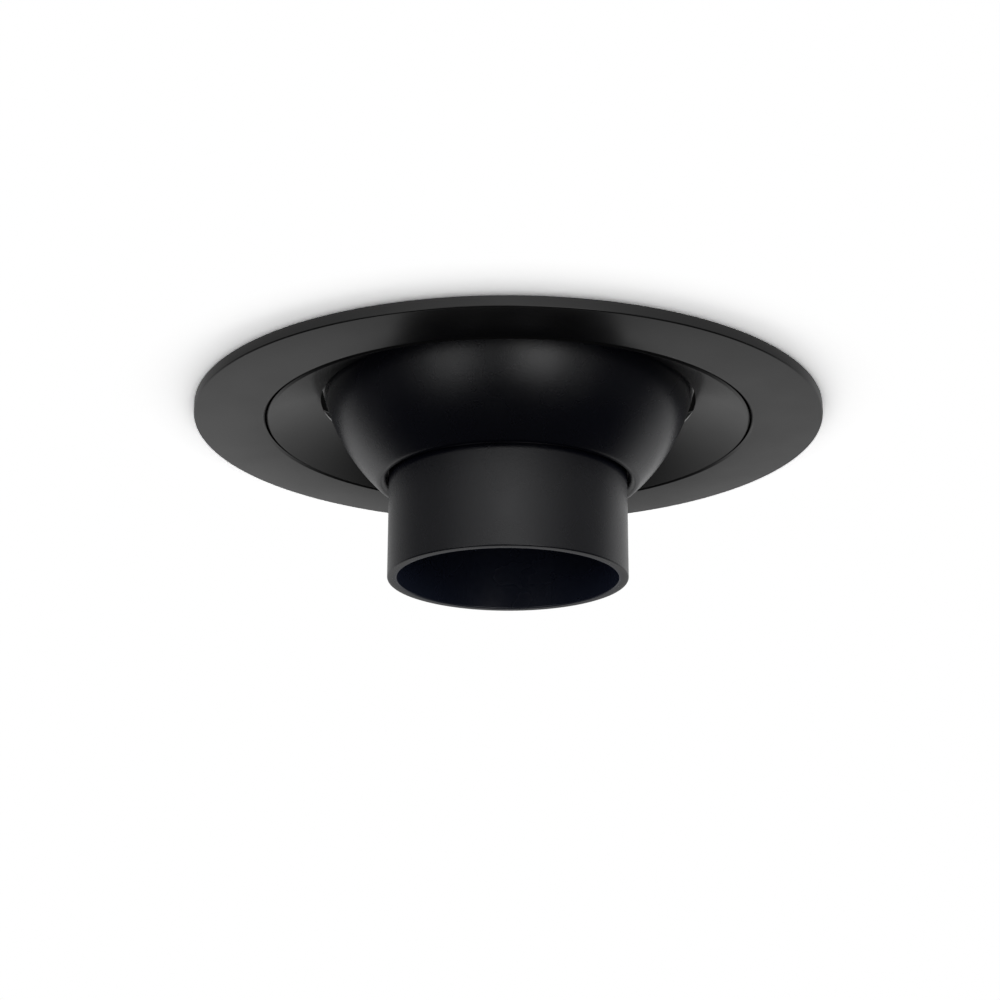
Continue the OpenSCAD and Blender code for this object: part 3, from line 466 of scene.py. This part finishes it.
ball = lathe("ball_casting", ball_profile())
flatten(ball, FLAT_Y)
bosses, holes = [], []
for turned in LUG_ANGLES:
    around = Matrix.Rotation(math.radians(turned), 4, "Z")
    lug = ball_lug()
    lug.data.transform(around)
    bosses.append(lug)
    low, high = RIM_Z - LUG_H - OVERSHOOT, RIM_Z + OVERSHOOT
    holes.append(cylinder_piece("hole", LUG_HOLE_R, low, high, (LUG_HOLE_AT, 0), around))
for side in (1, -1):
    lie = Matrix.Translation(mm(0, 0, BALL_Z)) @ Matrix.Rotation(math.radians(-90 * side), 4, "X")
    for boss_r, hole_r, rise in ((PIVOT_BOSS_R, PIVOT_HOLE_R, 0), (LOCK_BOSS_R, LOCK_HOLE_R, LOCK_ORBIT)):
        at = (0, -rise * side)
        bosses.append(cylinder_piece("boss", boss_r, BOSS_Y, FLAT_Y - BOSS_SINK, at, lie))
        holes.append(cylinder_piece("hole", hole_r, BOSS_Y - OVERSHOOT, FLAT_Y + OVERSHOOT, at, lie))
carve(ball, bosses, holes)
dress(ball, "textured_black", "head", "ball_shell")


# ---- Snoot ----

snoot_profile = rounded([
    (SNOOT_IN_R, SNOOT_FOOT, CAST_ROUND),
    (SNOOT_R, SNOOT_FOOT, CAST_ROUND),
    (SNOOT_R, SNOOT_GROOVE_Z, 0),
    (SNOOT_GROOVE_R, SNOOT_GROOVE_Z, 0),
    (SNOOT_GROOVE_R, SNOOT_GROOVE_Z + STOP_RING_T, 0),
    (SNOOT_R, SNOOT_GROOVE_Z + STOP_RING_T, 0),
    (SNOOT_R, SNOOT_TOP, 0.2),
    (SNOOT_IN_R, SNOOT_TOP, 0.2),
])
snoot = lathe("snoot_cylinder", snoot_profile)
dress(snoot, "textured_black", "snoot", "snoot_tube")
snoot.data.materials[0] = lined("snoot_coat", LINING_R)


# ---- Stage ----
# Azimuths are degrees round the lamp, 0 on the camera's side (-Y) and 90 on the right (+X). Elevations are
# degrees above the horizon.

# The paint as it lights the lamp, and as the camera sees it near the lamp, made up for the dim light there
PAINT, SHADED_PAINT = 0.8, 2.18
SHADOW_REACH = 67, 83  # radii between which the camera's shadow gives way to white
GLOSS_NEAR, GLOSS_REACH = 0.8, (64, 85)  # painted shade: reflections of the soffit are weaker inside the first radius
# Painted light that reflections see on the soffit: azimuth and brightness
GLOSS_STOPS = (
    (-180, 0.6), (-138, 0.42), (-116, 0.37), (-90, 0.26), (-58, 0.36), (-28, 0.75), (0, 1.3),
    (28, 0.75), (58, 0.37), (88, 0.35), (110, 0.7), (130, 0.65), (180, 0.6),
)


def node_maths(nodes, links):
    """Shorthands for a node tree: arithmetic on sockets or numbers, and a smooth step."""
    def calc(operation, *inputs):
        node = nodes.new("ShaderNodeMath")
        node.operation = operation
        for socket, value in zip(node.inputs, inputs):
            if isinstance(value, (int, float)):
                socket.default_value = value
            else:
                links.new(value, socket)
        return node.outputs[0]

    def ease(value, start, end, low=0.0, high=1.0):
        node = nodes.new("ShaderNodeMapRange")
        node.interpolation_type = "SMOOTHSTEP"
        for key, number in (("From Min", start), ("From Max", end), ("To Min", low), ("To Max", high)):
            node.inputs[key].default_value = number
        links.new(value, node.inputs["Value"])
        return node.outputs["Result"]

    return calc, ease


def soffit_paint():
    """Near the lamp the soffit keeps the shadow, further out it is plain white. Reflections see a painted
    glow on it, brightest on the camera's side and dimmer near the lamp. From above it is clear, so the
    lamp's back shows."""
    made = bpy.data.materials.new("soffit_paint")
    made.use_nodes = True
    nodes, links = made.node_tree.nodes, made.node_tree.links
    nodes.clear()
    calc, ease = node_maths(nodes, links)
    place, split = nodes.new("ShaderNodeTexCoord"), nodes.new("ShaderNodeSeparateXYZ")
    size = nodes.new("ShaderNodeVectorMath")
    size.operation = "LENGTH"
    links.new(place.outputs["Object"], split.inputs[0])
    links.new(place.outputs["Object"], size.inputs[0])
    radius = size.outputs["Value"]
    azimuth = calc("ARCTAN2", split.outputs["X"], calc("MULTIPLY", split.outputs["Y"], -1))

    paint, shaded = nodes.new("ShaderNodeBsdfDiffuse"), nodes.new("ShaderNodeBsdfDiffuse")
    paint.inputs["Color"].default_value = (PAINT, PAINT, PAINT, 1)
    shaded.inputs["Color"].default_value = (SHADED_PAINT, SHADED_PAINT, SHADED_PAINT, 1)
    # painted reflection: a glow that only reflections see, brighter on the camera's side and dimmer near
    # the lamp
    white, painted_reflection = nodes.new("ShaderNodeEmission"), nodes.new("ShaderNodeEmission")
    ramp = nodes.new("ShaderNodeValToRGB")
    while len(ramp.color_ramp.elements) < len(GLOSS_STOPS):
        ramp.color_ramp.elements.new(0.5)
    for element, (at, level) in zip(ramp.color_ramp.elements, GLOSS_STOPS):
        element.position, element.color = at / 360 + 0.5, (level, level, level, 1)
    links.new(calc("MULTIPLY_ADD", azimuth, 0.5 / math.pi, 0.5), ramp.inputs["Fac"])
    links.new(ramp.outputs["Color"], painted_reflection.inputs["Color"])
    links.new(ease(radius, *map(mm, GLOSS_REACH), GLOSS_NEAR, 1.0), painted_reflection.inputs["Strength"])

    light_path, geometry = nodes.new("ShaderNodeLightPath"), nodes.new("ShaderNodeNewGeometry")
    out = nodes.new("ShaderNodeOutputMaterial")

    def mixed(factor, first, second):
        node = nodes.new("ShaderNodeMixShader")
        links.new(factor, node.inputs[0])
        links.new(first.outputs[0], node.inputs[1])
        links.new(second.outputs[0], node.inputs[2])
        return node

    seen = mixed(ease(radius, *map(mm, SHADOW_REACH)), shaded, white)
    by_camera = mixed(light_path.outputs["Is Camera Ray"], paint, seen)
    by_gloss = mixed(light_path.outputs["Is Glossy Ray"], by_camera, painted_reflection)
    whole = mixed(geometry.outputs["Backfacing"], by_gloss, nodes.new("ShaderNodeBsdfTransparent"))
    links.new(whole.outputs[0], out.inputs["Surface"])
    return made


def soffit():
    """The soffit board, a flat ring round the lamp's cut-out that faces down."""
    mesh = bpy.data.meshes.new("soffit_board")
    vertices, faces = [], []
    for k in range(SOFFIT_SEGMENTS):
        a = 2 * math.pi * k / SOFFIT_SEGMENTS
        for radius in (CUT_OUT_R, SOFFIT_R):
            vertices.append(mm(radius * math.cos(a), radius * math.sin(a), SOFFIT_LIFT))
    for k in range(SOFFIT_SEGMENTS):
        here, there = 2 * k, 2 * ((k + 1) % SOFFIT_SEGMENTS)
        faces.append((here, there, there + 1, here + 1))
    mesh.from_pydata(vertices, [], faces)
    mesh.update()
    if mesh.polygons[0].normal.z > 0:
        mesh.flip_normals()
    board = new_object("soffit_board", mesh)
    board.data.materials.append(soffit_paint())


soffit()


# ---- Camera ----

SENSOR_WIDTH, LENS = 36, 76.96
CAMERA_DISTANCE, CAMERA_BELOW = 453.76, math.radians(20.056)
PITCH, YAW, ROLL = math.radians(17.88), math.radians(-0.226), math.radians(0.173)
camera_data = bpy.data.cameras.new("photo_camera")
camera_data.sensor_width = SENSOR_WIDTH
camera_data.lens = LENS
camera = new_object("photo_camera", camera_data)
out_from_axis, below = CAMERA_DISTANCE * math.cos(CAMERA_BELOW), CAMERA_DISTANCE * math.sin(CAMERA_BELOW)
camera.location = mm(0, -out_from_axis, -below)
look = Vector((math.sin(YAW) * math.cos(PITCH), math.cos(YAW) * math.cos(PITCH), math.sin(PITCH)))
camera.rotation_euler = (look.to_track_quat("-Z", "Y") @ Quaternion((0, 0, 1), ROLL)).to_euler()
camera_data.clip_start, camera_data.clip_end = 0.02, 50
bpy.context.scene.camera = camera


# ---- Light ----

WASH_DISTANCE = 1.2  # metres
# Soft lights that wash the soffit: name, azimuth, elevation, width and height in metres, power in watts
WASHES = (
    ("soffit_wash_right", 105, -8, (1.2, 0.35), 7),
    ("soffit_wash_back", 180, -11, (1.2, 0.45), 9),
    ("soffit_wash_left", -105, -8, (1.2, 0.35), 6),
    ("soffit_fill", 180, -66, (0.9, 0.9), 1.9),
)


def wash(name, azimuth, elevation, size, power):
    """An oblong soft light that faces the lamp and can't be seen in reflections."""
    a, e = math.radians(azimuth), math.radians(elevation)
    away = Vector((math.sin(a) * math.cos(e), -math.cos(a) * math.cos(e), math.sin(e)))
    data = bpy.data.lights.new(name, "AREA")
    data.shape = "RECTANGLE"
    data.size, data.size_y = size
    data.energy = power
    made = new_object(name, data)
    made.location = away * WASH_DISTANCE
    made.rotation_euler = away.to_track_quat("Z", "Y").to_euler()
    made.visible_glossy = False


for row in WASHES:
    wash(*row)

# The surroundings' brightness straight above, just above the horizon, and wherever nothing else is
ZENITH, HAZE, DARK = 0.7, 0.22, 0.04
ZENITH_EDGE, HAZE_EDGE = (36, 62), (0, 14)
# The pale wall behind the lamp: where it sets in from the camera's side, how much later on the left, and
# its foot, which rises towards the sides by the slope
WALL_EDGE, WALL_LATE_LEFT = (95, 135), -9.0
WALL_FOOT, WALL_FOOT_SLOPE, WALL_FOOT_DROP = (-48, -8), 0.45, 54
# The wall's brightness at the sides and behind, the share of it on the right, and in the very middle
WALL_TURN, WALL_SIDE, WALL_BACK, WALL_RIGHT = (140, 166), 0.74, 0.53, 0.92
WALL_MIDDLE, WALL_MIDDLE_SHARE = (172.5, 179.5), 0.5
# The camera's background turns to a painted shade of the unlit space above the soffit where a line of
# sight climbs by these shares of its length
CLIMB, PAINTED_CAVITY_SHADE = (0.14, 0.28), 0.004
# Soft boxes: azimuth, elevation, half the width, half the height, softness of the edge, brightness
BOXES = (
    (-36, -18, 13, 15, 5, 1.45),
    (19, -18, 14, 15, 5, 2.2),
    (44, -22, 12, 11, 6, 0.45),
    (-58, -22, 9, 11, 6, 0.25),
    (-8, -23, 14, 10, 6, 0.4),
    (0, -18, 200, 8, 6, 0.07),
)


def surroundings():
    """Soft surroundings: pale behind the lamp and above it, two bright soft boxes and faint ones between
    and beside them on the camera's side, dark elsewhere below. The camera sees white, and a painted shade
    of the unlit space above the soffit only where it looks up through the lamp."""
    world = bpy.data.worlds.new("studio")
    bpy.context.scene.world = world
    world.use_nodes = True
    nodes, links = world.node_tree.nodes, world.node_tree.links
    nodes.clear()
    calc, ease = node_maths(nodes, links)
    place, split = nodes.new("ShaderNodeTexCoord"), nodes.new("ShaderNodeSeparateXYZ")
    links.new(place.outputs["Generated"], split.inputs[0])
    x, y, z = split.outputs
    azimuth = calc("MULTIPLY", calc("ARCTAN2", x, calc("MULTIPLY", y, -1)), 180 / math.pi)
    elevation = calc("MULTIPLY", calc("ARCSINE", z), 180 / math.pi)
    sideways = calc("ABSOLUTE", azimuth)

    def soft_box(centre_az, centre_el, half_az, half_el, soft, strength):
        """A bright patch of the surroundings, in degrees."""
        off_az = calc("ABSOLUTE", calc("SUBTRACT", azimuth, centre_az))
        off_el = calc("ABSOLUTE", calc("SUBTRACT", elevation, centre_el))
        across = ease(off_az, half_az - soft, half_az + soft, 1.0, 0.0)
        along = ease(off_el, half_el - soft, half_el + soft, 1.0, 0.0)
        return calc("MULTIPLY", calc("MULTIPLY", across, along), strength)

    above = calc("ADD", ease(elevation, *ZENITH_EDGE, 0.0, ZENITH), ease(elevation, *HAZE_EDGE, 0.0, HAZE))
    height = calc("MULTIPLY_ADD", sideways, WALL_FOOT_SLOPE, calc("SUBTRACT", elevation, WALL_FOOT_DROP))
    lower = ease(height, *WALL_FOOT)
    back = ease(calc("ADD", sideways, ease(azimuth, -90, 90, WALL_LATE_LEFT, 0.0)), *WALL_EDGE)
    turned = ease(sideways, *WALL_TURN, WALL_SIDE, WALL_BACK)
    side_level = calc("MULTIPLY", turned, ease(azimuth, -90, 90, 1.0, WALL_RIGHT))
    middle = ease(sideways, *WALL_MIDDLE, 1.0, WALL_MIDDLE_SHARE)
    behind = calc("MULTIPLY", calc("MULTIPLY", back, lower), calc("MULTIPLY", side_level, middle))
    level = calc("ADD", calc("ADD", above, behind), DARK)
    for patch in BOXES:
        level = calc("ADD", level, soft_box(*patch))
    light_path = nodes.new("ShaderNodeLightPath")
    soft, seen = nodes.new("ShaderNodeBackground"), nodes.new("ShaderNodeBackground")
    mix, out = nodes.new("ShaderNodeMixShader"), nodes.new("ShaderNodeOutputWorld")
    links.new(level, soft.inputs["Strength"])
    # painted shade: the camera sees the unlit space above the soffit as dark where it looks up through the
    # lamp
    links.new(ease(z, *CLIMB, 1.0, PAINTED_CAVITY_SHADE), seen.inputs["Strength"])
    links.new(light_path.outputs["Is Camera Ray"], mix.inputs[0])
    links.new(soft.outputs[0], mix.inputs[1])
    links.new(seen.outputs[0], mix.inputs[2])
    links.new(mix.outputs[0], out.inputs["Surface"])


surroundings()
bpy.context.scene.view_settings.view_transform = "Standard"
